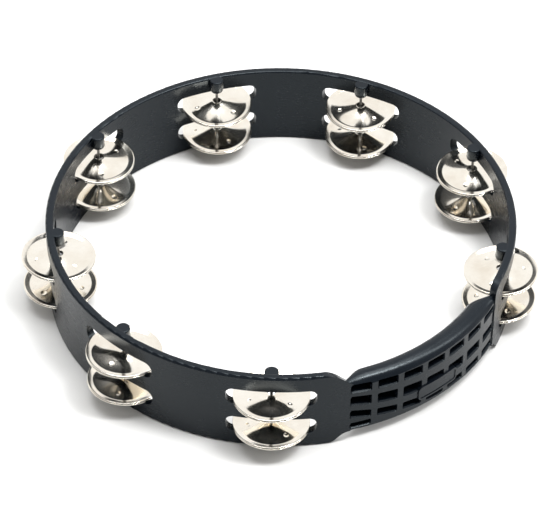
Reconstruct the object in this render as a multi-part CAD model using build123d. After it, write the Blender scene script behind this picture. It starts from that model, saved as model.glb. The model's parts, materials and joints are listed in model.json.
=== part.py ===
from build123d import *
import os
from math import cos, radians, sin

# Tambourine: a moulded ring with a hand grip and eight jingle stations.
# Millimetres. Origin on the ring's axis, in the plane the ring lies on; +Z is the
# ring's axis, and the grip is centred close to -Y.

# ---- driving dimensions -------------------------------------------------------
ring_radius = 127.0          # outer radius of the wall
wall = 4.3                   # wall thickness
height = 49.1                # height of the ring
rim_round = 1.1              # rounding of the wall's top and bottom edges

station_pitch = 40.0         # nine equal pitches: eight stations and the grip
station_count = 8
first_station = 310.0        # angle of station 1

window_width = 47.0          # chord of a jingle window
window_height = 10.3
window_corner = 4.2
lower_window_z = 9.7         # sill of the lower row of windows
upper_window_z = 29.5        # sill of the upper row

pin_circle = 121.0           # radius of the circle the pins stand on
pin_radius = 0.75
pin_interference = 0.01      # the pins are pressed into their bosses
pin_bottom = 1.5
pin_top = 45.5
boss_radius = 3.8
boss_gap = 0.3               # a boss stops this far from the height of the nearest window
boss_free_round = 2.6        # rounding of an upper boss's free end
boss_edge_round = 0.7        # rounding of its other edges
upper_boss_top = 48.9
lower_boss_bottom = 0.0

jingle_radius = 20.0
jingle_hole = 2.3
jingle_thickness = 0.6
valley_radius = 16.2         # lowest circle of a jingle, between dome and flange
dome_rise = 2.5              # how far the hole stands above the valley
dome_slope = 0.19            # how steeply the dome falls at the hole
dome_steep = (8.0, 1.18)     # radius and rise where the dome is steepest
dome_foot = (12.5, 0.27)     # and where it runs out into the valley
flange_rise = 1.1            # how far the rim stands above the valley
flange_slope = 0.34
jingle_pitch = 1.15          # spacing of the two jingles of a pair along their axis
jingle_tip_deg = 3.0         # the jingles lean on their sill, inner side down
sill_clearance = 0.06        # between the lower jingle and its sill

grip_angle = 271.85          # where the grip and its ribbed panel are centred
dip_start_8_deg = 29.5       # the ring starts to get lower here, towards station 8
dip_start_1_deg = 27.2       # and here, towards station 1
panel_half_deg = 23.05       # half the angle of the ribbed panel on the grip's outside
panel_recess = 0.6           # the ribbed panel lies this far inside the wall's face
panel_bottom = 6.7
panel_top_end = 40.5         # top of the panel at its ends
panel_top_middle = 36.0      # and in its middle

grip_inner_radius = 112.4    # innermost face of the grip
grip_outer_radius = 128.7    # its section's outer side, cut off flush with the panel
grip_middle_z = 24.1
grip_half_height = 17.1
grip_fullness = 2.4          # exponent of the section's superellipse
grip_full_deg = 19.0         # full section to here
grip_end_deg = 27.0          # and faded into the wall here
grip_end_inset = 1.0         # how deep the faded end lies inside the wall

pocket_columns = 7
rib_deg = 1.87               # angle of an upright rib between pockets
pocket_floor_radius = 119.0  # how deep the pockets go
pocket_corner = 0.6
mouth_depth = 1.0            # each pocket widens over this depth at its mouth
mouth_draft_deg = 22.0       # and its sides slope this much there
# low and high edge of each row of pockets: its height in the middle of the grip, how
# much it rises from there to the panel's end towards station 1, and how much it sags
pocket_rows = [
    ((30.8, -0.4, 2.6), (36.1, -0.9, 1.9)),
    ((18.0, -2.85, 4.15), (24.6, -3.1, 3.0)),
    ((8.6, -3.65, 3.55), (12.6, -3.8, 4.2)),
]
end_pocket = (8.2, 11.3)     # the extra pocket at the foot of the column nearest station 8

plate_angle = 0.85           # blank plate across the ribs, from the grip's middle
plate_width = 27.0
plate_height = 9.0
plate_z = 16.0
plate_corner = 2.6
plate_proud = 0.7
plate_border = 1.0
plate_sunk = 0.35            # the plate's face lies this far inside its border

inner_radius = ring_radius - wall


# ---- helpers ------------------------------------------------------------------
def facing_out(angle_deg, radius=0.0, z=0.0):
    """A plane whose normal is the ring's outward direction at an angle, its Y up."""
    a = radians(angle_deg)
    outward = (cos(a), sin(a), 0)
    along = (-sin(a), cos(a), 0)
    origin = (radius * cos(a), radius * sin(a), z)
    return Plane(origin=origin, x_dir=along, z_dir=outward)


def station_angle(index):
    return first_station + station_pitch * index


def from_grip(solid):
    """Turns what was made about -Y to where the grip is."""
    return Rot(0, 0, grip_angle - 270) * solid


def smooth_step(value):
    value = min(max(value, 0.0), 1.0)
    return value * value * (3 - 2 * value)


# ---- frame --------------------------------------------------------------------
def ring_wall():
    section = Plane.XZ * Pos(ring_radius - wall / 2, height / 2) * RectangleRounded(
        wall, height, rim_round
    )
    return revolve(section, Axis.Z)


def chord_x(angle_from_grip):
    return ring_radius * sin(radians(angle_from_grip))


def dip_cut():
    """What is taken off above and below the panel, so that the hand fits round it."""
    x_8 = -chord_x(dip_start_8_deg)
    x_1 = chord_x(dip_start_1_deg)
    x_in = chord_x(panel_half_deg)
    above = height + 5
    below = -5
    top = Plane.XZ * make_face(
        Spline(
            (x_8, height),
            (-x_in, panel_top_end),
            (0, panel_top_middle),
            (x_in, panel_top_end),
            (x_1, height),
            tangents=((1, -0.1), (1, 0.1)),
        )
        + Polyline((x_1, height), (x_1, above), (x_8, above), (x_8, height))
    )
    level = ((1, 0), (1, 0))
    bottom = Plane.XZ * make_face(
        Spline((x_8, 0), (-x_in, panel_bottom), tangents=level)
        + Line((-x_in, panel_bottom), (x_in, panel_bottom))
        + Spline((x_in, panel_bottom), (x_1, 0), tangents=level)
        + Polyline((x_1, 0), (x_1, below), (x_8, below), (x_8, 0))
    )
    reach = ring_radius + 20
    return from_grip(extrude(top, amount=reach) + extrude(bottom, amount=reach))


def signed_power(value, power):
    return abs(value) ** power * (1 if value >= 0 else -1)


def grip_section(angle_from_grip):
    """Superellipse across the grip, fading into the wall at the grip's ends."""
    fade = smooth_step(
        (abs(angle_from_grip) - grip_full_deg) / (grip_end_deg - grip_full_deg)
    )
    faded_inner = inner_radius + grip_end_inset
    inner = grip_inner_radius + fade * (faded_inner - grip_inner_radius)
    centre = (inner + grip_outer_radius) / 2
    half_depth = (grip_outer_radius - inner) / 2
    power = 2 / grip_fullness
    point_count = 16
    points = []
    for step in range(point_count):
        t = radians(360 * step / point_count)
        across = centre + half_depth * signed_power(cos(t), power)
        up = grip_middle_z + grip_half_height * signed_power(sin(t), power)
        points.append((across, up))
    a = radians(grip_angle + angle_from_grip)
    plane = Plane(origin=(0, 0, 0), x_dir=(cos(a), sin(a), 0), z_dir=(sin(a), -cos(a), 0))
    return plane * make_face(Spline(*points, periodic=True))


def grip_body():
    """Constant section round the middle, with a short faded loft at each end."""
    body = revolve(grip_section(-grip_full_deg), Axis.Z, revolution_arc=2 * grip_full_deg)
    loft_spans = 4
    for side in (-1, 1):
        sections = []
        for step in range(loft_spans + 1):
            part = step / loft_spans
            angle = grip_full_deg + part * (grip_end_deg - grip_full_deg)
            sections.append(grip_section(side * angle))
        body = body + loft(sections)
    within = Pos(0, 0, height / 2) * Cylinder(ring_radius - panel_recess, height)
    return body & within


def row_height(edge, angle_from_grip):
    """Height of one edge of a row of pockets: a slanted line that sags in the middle."""
    middle, rise, sag = edge
    part = angle_from_grip / panel_half_deg
    return middle + rise * part + sag * part ** 2


def pocket_cutter(outline, angle):
    """A straight pocket whose mouth widens outwards."""
    mouth_radius = ring_radius - panel_recess - mouth_depth
    outside = 5
    straight = facing_out(angle, pocket_floor_radius) * outline
    mouth = facing_out(angle, mouth_radius) * outline
    return [
        extrude(straight, amount=ring_radius - pocket_floor_radius + outside),
        extrude(mouth, amount=2 * mouth_depth, taper=-mouth_draft_deg),
    ]


def panel_pockets():
    """The sunk pockets that leave upright and cross ribs on the grip's outside."""
    pitch = (2 * panel_half_deg + rib_deg) / pocket_columns
    half_pocket = (pitch - rib_deg) / 2
    half_width = ring_radius * sin(radians(half_pocket))
    cutters = []
    for column in range(pocket_columns):
        middle = (column - (pocket_columns - 1) / 2) * pitch
        left, right = [
            [(row_height(low, angle), row_height(high, angle)) for low, high in pocket_rows]
            for angle in (middle - half_pocket, middle + half_pocket)
        ]
        if column == 0:
            left.append(end_pocket)
            right.append(end_pocket)
        for (left_low, left_high), (right_low, right_high) in zip(left, right):
            outline = Polyline(
                (-half_width, left_low),
                (half_width, right_low),
                (half_width, right_high),
                (-half_width, left_high),
                close=True,
            )
            face = fillet(make_face(outline).vertices(), pocket_corner)
            cutters += pocket_cutter(face, grip_angle + middle)
    return cutters


def panel_recess_cut():
    """Thin slice that sets the ribbed panel back from the wall's face."""
    inside = ring_radius - panel_recess
    section = Plane.XZ * Pos(inside + 5, height / 2) * Rectangle(10, height + 10)
    slice_ring = revolve(section, Axis.Z, revolution_arc=2 * panel_half_deg)
    return Rot(0, 0, grip_angle - panel_half_deg) * slice_ring


def plate_block(outline, outer_radius):
    """A block with the given outline and a face that follows the ring's curve."""
    depth = 5.0
    plane = facing_out(grip_angle + plate_angle, ring_radius - 8, plate_z)
    block = extrude(plane * outline, amount=20)
    section = Plane.XZ * Pos(outer_radius - depth / 2, plate_z) * Rectangle(
        depth, plate_height + 4
    )
    arc = 40
    band = Rot(0, 0, grip_angle - arc / 2) * revolve(section, Axis.Z, revolution_arc=arc)
    return block & band


def name_plate():
    """Blank plate across the middle of the ribs, with a raised border."""
    outer = RectangleRounded(plate_width, plate_height, plate_corner)
    inner = RectangleRounded(
        plate_width - 2 * plate_border,
        plate_height - 2 * plate_border,
        plate_corner - plate_border,
    )
    face_radius = ring_radius - panel_recess + plate_proud
    border = plate_block(outer - inner, face_radius)
    return border + plate_block(outer, face_radius - plate_sunk)


def windows(angle):
    cutters = []
    for sill in (lower_window_z, upper_window_z):
        plane = facing_out(angle, inner_radius - 12, sill + window_height / 2)
        face = plane * RectangleRounded(window_width, window_height, window_corner)
        cutters.append(extrude(face, amount=30))
    return cutters


def bosses(angle):
    """Upper and lower boss of one station, where each end of the pin is held."""
    upper_start = upper_window_z + window_height + boss_gap
    lower_end = lower_window_z - boss_gap
    within = Pos(0, 0, height / 2) * Cylinder(inner_radius + wall / 2, height)
    solids = []
    for low, high in ((upper_start, upper_boss_top), (lower_boss_bottom, lower_end)):
        length = high - low
        post = Pos(pin_circle, 0, low + length / 2) * Cylinder(boss_radius, length)
        if low == upper_start:
            post = fillet(post.edges().sort_by(Axis.Z)[0], boss_free_round)
        post = fillet(post.edges().sort_by(Axis.Z)[-1], boss_edge_round)
        solids.append(Rot(0, 0, angle) * post & within)
    return solids


def pin_bore(angle):
    length = pin_top - pin_bottom
    bore = Pos(pin_circle, 0, pin_bottom + length / 2) * Cylinder(
        pin_radius - pin_interference, length
    )
    return Rot(0, 0, angle) * bore


def frame():
    """Ring, grip and bosses: one moulding."""
    body = ring_wall() - dip_cut()
    body = body - panel_recess_cut()
    body = body + grip_body()
    body = body - panel_pockets()
    body = body + name_plate()
    for index in range(station_count):
        angle = station_angle(index)
        body = body - windows(angle) + bosses(angle) - pin_bore(angle)
    return body


# ---- pins and jingles -----------------------------------------------------------
def pin(angle):
    length = pin_top - pin_bottom
    post = Pos(pin_circle, 0, pin_bottom + length / 2) * Cylinder(pin_radius, length)
    return Rot(0, 0, angle) * post


def jingle_blank():
    """A jingle about +Z, its valley's underside touching z = 0."""
    lower = Spline(
        (jingle_hole, dome_rise),
        dome_steep,
        dome_foot,
        (valley_radius, 0),
        (jingle_radius, flange_rise),
        tangents=((1, -dome_slope), (1, flange_slope)),
    )
    upper = Pos(0, jingle_thickness) * lower
    ends = [Line(lower @ 0, upper @ 0), Line(lower @ 1, upper @ 1)]
    section = Plane.XZ * make_face([lower, upper] + ends)
    return revolve(section, Axis.Z)


def jingle(angle, sill, layer):
    """One jingle of a pair at rest: layer 0 on the sill, layer 1 on top of it."""
    blank = Pos(0, 0, sill_clearance + layer * jingle_pitch) * jingle_blank()
    tipped = Rot(0, -jingle_tip_deg, 0) * blank
    return Rot(0, 0, angle) * Pos(pin_circle, 0, sill) * tipped


# ---- write the pieces -------------------------------------------------------------
pieces = {"frame": frame()}
for index in range(station_count):
    angle = station_angle(index)
    number = index + 1
    pieces[f"pin_{number}"] = pin(angle)
    for row, sill in (("bottom", lower_window_z), ("top", upper_window_z)):
        for layer, place in enumerate(("under", "over")):
            pieces[f"jingle_{number}_{row}_{place}"] = jingle(angle, sill, layer)

os.makedirs("parts", exist_ok=True)
for name, solid in pieces.items():
    export_step(solid, f"parts/{name}.step")
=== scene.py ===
import json
import math
import random

import bpy
from mathutils import Matrix, Vector


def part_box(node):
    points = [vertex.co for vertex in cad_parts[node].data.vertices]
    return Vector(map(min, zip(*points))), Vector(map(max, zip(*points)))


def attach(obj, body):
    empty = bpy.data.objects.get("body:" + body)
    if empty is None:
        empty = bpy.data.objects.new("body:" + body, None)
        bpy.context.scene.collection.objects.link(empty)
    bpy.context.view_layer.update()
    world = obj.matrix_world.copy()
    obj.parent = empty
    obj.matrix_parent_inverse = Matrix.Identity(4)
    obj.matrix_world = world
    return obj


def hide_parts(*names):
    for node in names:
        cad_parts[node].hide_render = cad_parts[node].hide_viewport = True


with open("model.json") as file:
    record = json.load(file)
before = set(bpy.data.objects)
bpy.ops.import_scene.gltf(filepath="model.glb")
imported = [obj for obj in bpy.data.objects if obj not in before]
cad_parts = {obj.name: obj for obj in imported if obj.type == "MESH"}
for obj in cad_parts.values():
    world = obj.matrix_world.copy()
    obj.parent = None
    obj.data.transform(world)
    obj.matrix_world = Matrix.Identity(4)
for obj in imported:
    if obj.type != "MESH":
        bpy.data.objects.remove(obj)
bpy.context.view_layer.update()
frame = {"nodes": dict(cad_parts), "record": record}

MM = 0.001

# ---- stations and pins: bodies from the frame, measures as in the part's source ------
BODIES = frame["record"]["behaviour"]["bodies"]
BODY_OF = {node: body for body, nodes in BODIES.items() for node in nodes}
STATIONS = range(1, 9)
STATION_PITCH = 40.0             # degrees from one station to the next
GRIP_ANGLE = 270.0               # where station 0 would be
PIN_CIRCLE = 121.0 * MM
PIN_CHAMFER = 0.25 * MM
PIN_SIDES = 24
SILLS = {"bottom": 9.7 * MM, "top": 29.5 * MM}
LAYERS = {"under": 0, "over": 1}

# ---- a jingle's sheet ----------------------------------------------------------------
JINGLE_RADIUS = 20.0 * MM
HOLE_RADIUS = 2.3 * MM
SHEET = 0.6 * MM
VALLEY_RADIUS = 16.2 * MM        # lowest circle, between the dome and the flange
FLANGE_RADIUS = 17.2 * MM        # from here to the rim the flange has one slope
DOME_SLOPE = 0.25                # steepest slope of the dome
DOME_SHIFT = 3.0 * MM            # brings the steepest slope nearer to the hole
FLANGE_SLOPE = 0.32
RIM_ROUND = 0.3 * MM
RIM_STEPS = 6
HOLE_ROUND = 0.1 * MM
PROFILE_BANDS = (                # start, stop and count of rows, from the hole to the rim
    (HOLE_RADIUS, 10.0 * MM, 9),
    (10.0 * MM, 14.0 * MM, 12),
    (14.0 * MM, 15.8 * MM, 3),
    (15.8 * MM, 17.4 * MM, 6),
    (17.4 * MM, JINGLE_RADIUS - RIM_ROUND, 4),
)
SLOPE_STEPS = 8                  # steps in which the slope is summed from row to row

RIPPLE_COUNT = 3
RIPPLE_DEPTH = (0.01 * MM, 0.035 * MM)
FEWEST_WAVES = 2                 # waves round a jingle in its first ripple

DIMPLE_COUNT = 3
DIMPLE_CIRCLE = 12.0 * MM
DIMPLE_RADIUS = 1.6 * MM
DIMPLE_FLOOR = 0.5 * MM          # radius of the dimple's flat middle
DIMPLE_DEPTH = 0.32 * MM
DIMPLE_HALF_DEG = 9.0            # columns are close together this far each side of one
CLOSE_COLUMNS = 16
WIDE_COLUMNS = 22

# ---- how the jingles rest --------------------------------------------------------------
TIP_DEG = 3.0                    # they lean inwards, so the outer side is higher
JINGLE_PITCH = 1.15 * MM         # height from one jingle of a pair to the other
SILL_CLEARANCE = 0.06 * MM
HIDDEN_SIDE = {"under": 1, "over": -1}   # which way a jingle's side towards its pair faces
PAINTED_SHADE_RADIUS = 19.3 * MM        # that side gets the painted shade out to here
LEAST_UPRIGHT = 0.5              # height of a unit normal that counts as facing up or down
JINGLE_SEED = 7

# ---- view and lights -------------------------------------------------------------------
VIEW_TURN_DEG = -38.0            # from +X to the right-hand side of the view
HEADING = math.radians(90.0 + VIEW_TURN_DEG)
VIEW_TURN = Matrix.Rotation(math.radians(VIEW_TURN_DEG), 3, "Z")
CAMERA_PITCH_DEG = 42.36
CAMERA_ROLL_DEG = 0.52
CAMERA_DISTANCE = 1.477
CAMERA_TARGET = (-2.8 * MM, 17.0 * MM, 0.0)
CAMERA_LENS = 173.3
CAMERA_SENSOR = 36.0

FLOOR_HALF = 6
ROOM_COLOR = (1.0, 0.995, 0.985, 1.0)
ROOM_NEAR = 0.42                 # brightness of the room on the camera's side
ROOM_FAR = 1.15                  # and beyond the object
SOFT_BOXES = {                   # place, with x to the right of the view, size and power
    "overhead": ((0.0, 0.05, 1.5), (1.2, 1.0), 27.0),
    "key": ((0.6, -0.22, 1.5), (0.5, 0.24), 16.0),
    "strip": ((1.5, -0.16, 1.5), (1.2, 0.25), 13.0),
}


# ---- camera ----------------------------------------------------------------------------
def add_camera():
    """Looks down at the ring from the side of station 8, with the grip to the right."""
    pitch = math.radians(CAMERA_PITCH_DEG)
    roll = math.radians(CAMERA_ROLL_DEG)
    look = Vector(
        (
            math.cos(HEADING) * math.cos(pitch),
            math.sin(HEADING) * math.cos(pitch),
            -math.sin(pitch),
        )
    )
    right = look.cross(Vector((0, 0, 1))).normalized()
    up = right.cross(look)
    tilted_right = right * math.cos(roll) + up * math.sin(roll)
    tilted_up = up * math.cos(roll) - right * math.sin(roll)
    data = bpy.data.cameras.new("camera")
    data.lens = CAMERA_LENS
    data.sensor_width = CAMERA_SENSOR
    data.sensor_fit = "HORIZONTAL"
    data.clip_start = 0.05
    data.clip_end = 20.0
    camera = bpy.data.objects.new("camera", data)
    place = Matrix((tilted_right, tilted_up, -look)).transposed().to_4x4()
    place.translation = VIEW_TURN @ Vector(CAMERA_TARGET) - look * CAMERA_DISTANCE
    camera.matrix_world = place
    bpy.context.scene.collection.objects.link(camera)
    bpy.context.scene.camera = camera


# ---- materials ---------------------------------------------------------------------------
def math_node(tree, operation, a, b):
    """One sum in a node tree, where a and b are numbers or sockets."""
    node = tree.nodes.new("ShaderNodeMath")
    node.operation = operation
    for value, socket in zip((a, b), node.inputs):
        if isinstance(value, (int, float)):
            socket.default_value = value
        else:
            tree.links.new(value, socket)
    return node.outputs["Value"]


class Nodes:
    """Short-hand for building one node material."""

    def __init__(self, name):
        self.material = bpy.data.materials.new(name)
        self.material.use_nodes = True
        self.tree = self.material.node_tree
        self.shader = self.tree.nodes["Principled BSDF"]
        self.coords = self.tree.nodes.new("ShaderNodeTexCoord").outputs["Object"]

    def link(self, a, b):
        self.tree.links.new(a, b)

    def mapped(self, scale):
        node = self.tree.nodes.new("ShaderNodeMapping")
        node.inputs["Scale"].default_value = scale
        self.link(self.coords, node.inputs["Vector"])
        return node.outputs["Vector"]

    def noise(self, scale, detail, roughness=0.55, vector=None, distortion=0.0):
        node = self.tree.nodes.new("ShaderNodeTexNoise")
        node.inputs["Scale"].default_value = scale
        node.inputs["Detail"].default_value = detail
        node.inputs["Roughness"].default_value = roughness
        node.inputs["Distortion"].default_value = distortion
        self.link(vector or self.coords, node.inputs["Vector"])
        return node.outputs["Fac"]

    def ramp(self, value, stops):
        node = self.tree.nodes.new("ShaderNodeValToRGB")
        ramp = node.color_ramp
        while len(ramp.elements) < len(stops):
            ramp.elements.new(0.5)
        for element, (position, color) in zip(ramp.elements, stops):
            element.position = position
            element.color = (*color, 1.0)
        self.link(value, node.inputs["Fac"])
        return node.outputs["Color"]

    def scaled(self, value, low, high):
        node = self.tree.nodes.new("ShaderNodeMapRange")
        node.inputs["To Min"].default_value = low
        node.inputs["To Max"].default_value = high
        self.link(value, node.inputs["Value"])
        return node.outputs["Result"]

    def plus(self, a, b):
        return math_node(self.tree, "ADD", a, b)

    def times(self, a, b):
        return math_node(self.tree, "MULTIPLY", a, b)

    def bump(self, value, strength, distance, normal=None):
        node = self.tree.nodes.new("ShaderNodeBump")
        node.inputs["Strength"].default_value = strength
        node.inputs["Distance"].default_value = distance
        self.link(value, node.inputs["Height"])
        if normal is not None:
            self.link(normal, node.inputs["Normal"])
        return node.outputs["Normal"]


def black_plastic():
    n = Nodes("satin_black_abs")
    broad = n.noise(14.0, detail=3.0)
    grain = n.noise(2600.0, detail=2.0, roughness=0.6)
    flow = n.noise(60.0, detail=5.0, vector=n.mapped((1.0, 1.0, 0.25)), distortion=0.6)
    scratch = n.noise(900.0, detail=2.0, vector=n.mapped((0.12, 0.12, 1.0)))
    color = n.ramp(
        n.plus(n.times(broad, 0.7), n.times(flow, 0.3)),
        [(0.3, (0.0022, 0.0036, 0.0060)), (0.7, (0.0045, 0.0062, 0.0092))],
    )
    n.link(color, n.shader.inputs["Base Color"])
    fine = n.scaled(scratch, -0.03, 0.05)
    n.link(n.plus(n.scaled(flow, 0.20, 0.31), fine), n.shader.inputs["Roughness"])
    bump = n.bump(grain, 0.16, 0.00005)
    bump = n.bump(scratch, 0.08, 0.00004, bump)
    n.link(bump, n.shader.inputs["Normal"])
    n.shader.inputs["IOR"].default_value = 1.5
    n.shader.inputs["Specular IOR Level"].default_value = 0.24
    n.shader.inputs["Specular Tint"].default_value = (0.84, 0.95, 1.0, 1.0)
    return n.material


def nickel():
    n = Nodes("bright_nickel")
    cloud = n.noise(160.0, detail=3.0)
    stain = n.noise(55.0, detail=4.0, roughness=0.6)
    lapping = n.noise(1400.0, detail=2.0, vector=n.mapped((1.0, 0.16, 1.0)))
    color = n.ramp(
        stain,
        [
            (0.32, (0.76, 0.70, 0.61)),
            (0.55, (0.84, 0.80, 0.725)),
            (0.75, (0.88, 0.85, 0.79)),
        ],
    )
    n.link(color, n.shader.inputs["Base Color"])
    n.shader.inputs["Metallic"].default_value = 1.0
    fine = n.scaled(lapping, -0.015, 0.03)
    n.link(n.plus(n.scaled(cloud, 0.07, 0.15), fine), n.shader.inputs["Roughness"])
    bump = n.bump(lapping, 0.05, 0.00003)
    bump = n.bump(cloud, 0.10, 0.0002, bump)
    n.link(bump, n.shader.inputs["Normal"])
    return n.material


def painted_shade_nickel():
    """Painted shade: dark, rough metal where the two jingles of a pair face each other and on the
    hole walls round the pin.
    """
    n = Nodes("painted_shade_nickel")
    shade_mottle = n.noise(900.0, detail=3.0)
    # painted shade colour, mottled at random
    color = n.ramp(shade_mottle, [(0.3, (0.035, 0.03, 0.026)), (0.7, (0.10, 0.09, 0.078))])
    n.link(color, n.shader.inputs["Base Color"])
    n.shader.inputs["Metallic"].default_value = 0.6
    n.link(n.scaled(shade_mottle, 0.45, 0.7), n.shader.inputs["Roughness"])
    n.link(n.bump(shade_mottle, 0.2, 0.00004), n.shader.inputs["Normal"])
    return n.material


def pin_steel():
    n = Nodes("drawn_steel")
    draw = n.noise(1800.0, detail=2.0, vector=n.mapped((1.0, 1.0, 0.05)))
    tone = n.noise(220.0, detail=3.0)
    color = n.ramp(tone, [(0.3, (0.14, 0.135, 0.125)), (0.7, (0.26, 0.25, 0.235))])
    n.link(color, n.shader.inputs["Base Color"])
    n.shader.inputs["Metallic"].default_value = 1.0
    n.link(n.scaled(draw, 0.32, 0.50), n.shader.inputs["Roughness"])
    n.link(n.bump(draw, 0.15, 0.00004), n.shader.inputs["Normal"])
    return n.material


def floor_paper():
    n = Nodes("white_floor")
    speck = n.noise(40.0, detail=3.0)
    color = n.ramp(speck, [(0.3, (0.62, 0.62, 0.615)), (0.7, (0.64, 0.64, 0.635))])
    n.link(color, n.shader.inputs["Base Color"])
    n.shader.inputs["Roughness"].default_value = 0.9
    n.shader.inputs["Specular IOR Level"].default_value = 0.1
    return n.material


# ---- jingles -----------------------------------------------------------------------------
def mesh_object(name, verts, faces):
    mesh = bpy.data.meshes.new(name)
    mesh.from_pydata(verts, [], faces)
    mesh.validate()
    mesh.shade_smooth()
    piece = bpy.data.objects.new(name, mesh)
    bpy.context.scene.collection.objects.link(piece)
    return piece


def smooth(value):
    value = min(max(value, 0.0), 1.0)
    return value * value * (3.0 - 2.0 * value)


def slope_at(radius):
    """Slope of a jingle's sheet: a rounded dome, level at the valley, then the flange."""
    if radius < VALLEY_RADIUS:
        turn = math.pi * (radius + DOME_SHIFT) / (VALLEY_RADIUS + DOME_SHIFT)
        return -DOME_SLOPE * math.sin(turn)
    return FLANGE_SLOPE * min((radius - VALLEY_RADIUS) / (FLANGE_RADIUS - VALLEY_RADIUS), 1.0)


def jingle_profile():
    """(radius, height) of a jingle's underside from hole to rim, its valley at height 0."""
    radii = []
    for start, stop, count in PROFILE_BANDS:
        radii += [start + (stop - start) * i / count for i in range(count)]
    radii.append(JINGLE_RADIUS - RIM_ROUND)
    heights, height, before = [], 0.0, radii[0]
    for radius in radii:
        step = (radius - before) / SLOPE_STEPS
        for i in range(SLOPE_STEPS):
            height += slope_at(before + (i + 0.5) * step) * step
        heights.append(height)
        before = radius
    lowest = min(heights)
    return [(radius, height - lowest) for radius, height in zip(radii, heights)]


def sheet_outline():
    """(radius, height) round a jingle's section: underside, rolled rim, upper side, hole."""
    rows = jingle_profile()
    rim_r, rim_z = rows[-1]
    hole_r, hole_z = rows[0]
    half = SHEET / 2
    loop = list(rows)
    for i in range(1, RIM_STEPS):
        a = -math.pi / 2 + math.pi * i / RIM_STEPS
        loop.append((rim_r + RIM_ROUND * math.cos(a), rim_z + half + half * math.sin(a)))
    loop += [(r, z + SHEET) for r, z in reversed(rows)]
    loop.append((hole_r - HOLE_ROUND, hole_z + SHEET - HOLE_ROUND))
    loop.append((hole_r - HOLE_ROUND, hole_z + HOLE_ROUND))
    return loop


def dimple_drop(x, y, phase):
    drop = 0.0
    for k in range(DIMPLE_COUNT):
        a = phase + 2 * math.pi * k / DIMPLE_COUNT
        away = math.hypot(x - DIMPLE_CIRCLE * math.cos(a), y - DIMPLE_CIRCLE * math.sin(a))
        drop += DIMPLE_DEPTH * smooth((DIMPLE_RADIUS - away) / (DIMPLE_RADIUS - DIMPLE_FLOOR))
    return drop


def jingle_angles(phase):
    """Angles round a jingle, closer together where the dimples are."""
    angles = []
    sector = 2 * math.pi / DIMPLE_COUNT
    near = math.radians(DIMPLE_HALF_DEG)
    rest = sector - 2 * near
    for k in range(DIMPLE_COUNT):
        middle = phase + k * sector
        angles += [middle - near + 2 * near * i / CLOSE_COLUMNS for i in range(CLOSE_COLUMNS)]
        angles += [middle + near + rest * i / WIDE_COLUMNS for i in range(WIDE_COLUMNS)]
    return angles


def jingle_mesh(name, phase, rng, hidden_side):
    """A pressed sheet-metal jingle about its own axis, valley underside at height 0."""
    ripples = [
        (rng.uniform(0, 2 * math.pi), rng.uniform(*RIPPLE_DEPTH)) for _ in range(RIPPLE_COUNT)
    ]
    loop = sheet_outline()
    angles = jingle_angles(phase)
    verts, faces = [], []
    for angle in angles:
        c, q = math.cos(angle), math.sin(angle)
        wave = sum(
            depth * math.sin(waves * angle + start)
            for waves, (start, depth) in enumerate(ripples, FEWEST_WAVES)
        )
        for radius, z in loop:
            x, y = radius * c, radius * q
            fade = (radius / JINGLE_RADIUS) ** 2
            verts.append((x, y, z + wave * fade - dimple_drop(x, y, phase)))
    count, turns = len(loop), len(angles)
    for s in range(turns):
        t = (s + 1) % turns
        for i in range(count):
            j = (i + 1) % count
            faces.append((s * count + i, t * count + i, t * count + j, s * count + j))
    piece = mesh_object(name, verts, faces)
    # Painted shade: faces turned towards the pair's other jingle, nearly out to the rim, and the
    # hole walls take the dark second material.
    for polygon in piece.data.polygons:
        radius = math.hypot(polygon.center.x, polygon.center.y)
        hidden = polygon.normal.z * hidden_side > LEAST_UPRIGHT and radius < PAINTED_SHADE_RADIUS
        if hidden or radius < HOLE_RADIUS:
            polygon.material_index = 1
    return piece


def station_turn(station):
    return Matrix.Rotation(math.radians(GRIP_ANGLE + STATION_PITCH * station), 4, "Z")


def add_jingles(bright, painted_shade_material):
    rng = random.Random(JINGLE_SEED)
    for station in STATIONS:
        for row, sill in SILLS.items():
            for place, layer in LAYERS.items():
                node = f"jingle_{station}_{row}_{place}"
                phase = rng.uniform(0, 2 * math.pi)
                piece = jingle_mesh(node + "_plate", phase, rng, HIDDEN_SIDE[place])
                tip = Matrix.Rotation(math.radians(-TIP_DEG), 4, "Y")
                lift = Matrix.Translation((0, 0, SILL_CLEARANCE + layer * JINGLE_PITCH))
                at_pin = Matrix.Translation((PIN_CIRCLE, 0, sill))
                piece.data.transform(station_turn(station) @ at_pin @ tip @ lift)
                piece.data.materials.append(bright)
                # the second material is painted shade between the pair and in the hole
                piece.data.materials.append(painted_shade_material)
                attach(piece, BODY_OF[node])
                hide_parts(node)


# ---- pins and frame ------------------------------------------------------------------------
def pin_mesh(name, low, high):
    """A straight wire with chamfered ends that fills the box from low to high."""
    radius = (high[0] - low[0]) / 2
    x, y = (low[0] + high[0]) / 2, (low[1] + high[1]) / 2
    rings = [
        (radius - PIN_CHAMFER, low[2]),
        (radius, low[2] + PIN_CHAMFER),
        (radius, high[2] - PIN_CHAMFER),
        (radius - PIN_CHAMFER, high[2]),
    ]
    verts = [(x, y, low[2])]
    for ring_radius, z in rings:
        for s in range(PIN_SIDES):
            a = 2 * math.pi * s / PIN_SIDES
            verts.append((x + ring_radius * math.cos(a), y + ring_radius * math.sin(a), z))
    verts.append((x, y, high[2]))
    top = 1 + (len(rings) - 1) * PIN_SIDES
    faces = []
    for s in range(PIN_SIDES):
        t = (s + 1) % PIN_SIDES
        faces.append((0, 1 + t, 1 + s))
        for ring in range(len(rings) - 1):
            a, b = 1 + ring * PIN_SIDES, 1 + (ring + 1) * PIN_SIDES
            faces.append((a + s, a + t, b + t, b + s))
        faces.append((top + s, top + t, len(verts) - 1))
    return mesh_object(name, verts, faces)


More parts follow.
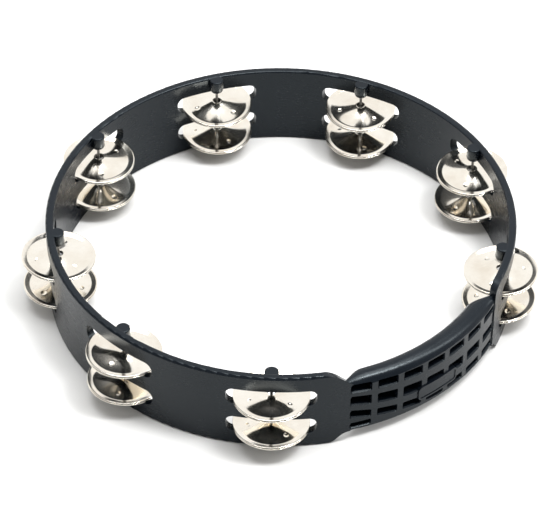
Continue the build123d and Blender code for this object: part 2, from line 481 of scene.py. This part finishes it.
def add_pins(material):
    for station in STATIONS:
        node = f"pin_{station}"
        low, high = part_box(node)
        piece = pin_mesh(node + "_wire", low, high)
        piece.data.materials.append(material)
        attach(piece, BODY_OF[node])
        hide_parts(node)


def dress_frame(material):
    moulding = frame["nodes"]["frame"]
    moulding.data.materials.clear()
    moulding.data.materials.append(material)
    for polygon in moulding.data.polygons:
        polygon.use_smooth = True


# ---- studio ----------------------------------------------------------------------------
def add_area(name, place, size, power):
    """A soft box that faces the object, its long side across the camera's view."""
    data = bpy.data.lights.new(name, "AREA")
    data.shape = "RECTANGLE"
    data.size, data.size_y = size
    data.energy = power
    light = bpy.data.objects.new(name, data)
    ray = Vector(place).normalized()
    across = (Vector((1, 0, 0)) - ray * ray.x).normalized()
    turn = Matrix((across, ray.cross(across), ray)).transposed()
    spot = Matrix.Translation(VIEW_TURN @ Vector(place))
    light.matrix_world = spot @ (VIEW_TURN @ turn).to_4x4()
    bpy.context.scene.collection.objects.link(light)


def add_world():
    """White room: bright beyond the object, dim on the side that it is seen from."""
    world = bpy.data.worlds.new("studio")
    bpy.context.scene.world = world
    world.use_nodes = True
    tree = world.node_tree
    coords = tree.nodes.new("ShaderNodeTexCoord")
    split = tree.nodes.new("ShaderNodeSeparateXYZ")
    tree.links.new(coords.outputs["Generated"], split.inputs["Vector"])
    ahead_x = math_node(tree, "MULTIPLY", split.outputs["X"], math.cos(HEADING))
    ahead_y = math_node(tree, "MULTIPLY", split.outputs["Y"], math.sin(HEADING))
    room = tree.nodes.new("ShaderNodeMapRange")
    room.interpolation_type = "SMOOTHSTEP"
    room.inputs["From Min"].default_value = -0.45
    room.inputs["From Max"].default_value = 0.30
    room.inputs["To Min"].default_value = ROOM_NEAR
    room.inputs["To Max"].default_value = ROOM_FAR
    tree.links.new(math_node(tree, "ADD", ahead_x, ahead_y), room.inputs["Value"])
    background = tree.nodes["Background"]
    tree.links.new(room.outputs["Result"], background.inputs["Strength"])
    background.inputs["Color"].default_value = ROOM_COLOR


def add_floor():
    h = FLOOR_HALF
    floor = mesh_object("floor", [(-h, -h, 0), (h, -h, 0), (h, h, 0), (-h, h, 0)], [(0, 1, 2, 3)])
    floor.data.materials.append(floor_paper())


def add_studio():
    add_floor()
    add_world()
    for name, (place, size, power) in SOFT_BOXES.items():
        add_area(name, place, size, power)
    view = bpy.context.scene.view_settings
    view.view_transform = "Standard"
    view.look = "None"
    view.exposure = 0.0


add_camera()
add_studio()
dress_frame(black_plastic())
add_pins(pin_steel())
add_jingles(nickel(), painted_shade_nickel())
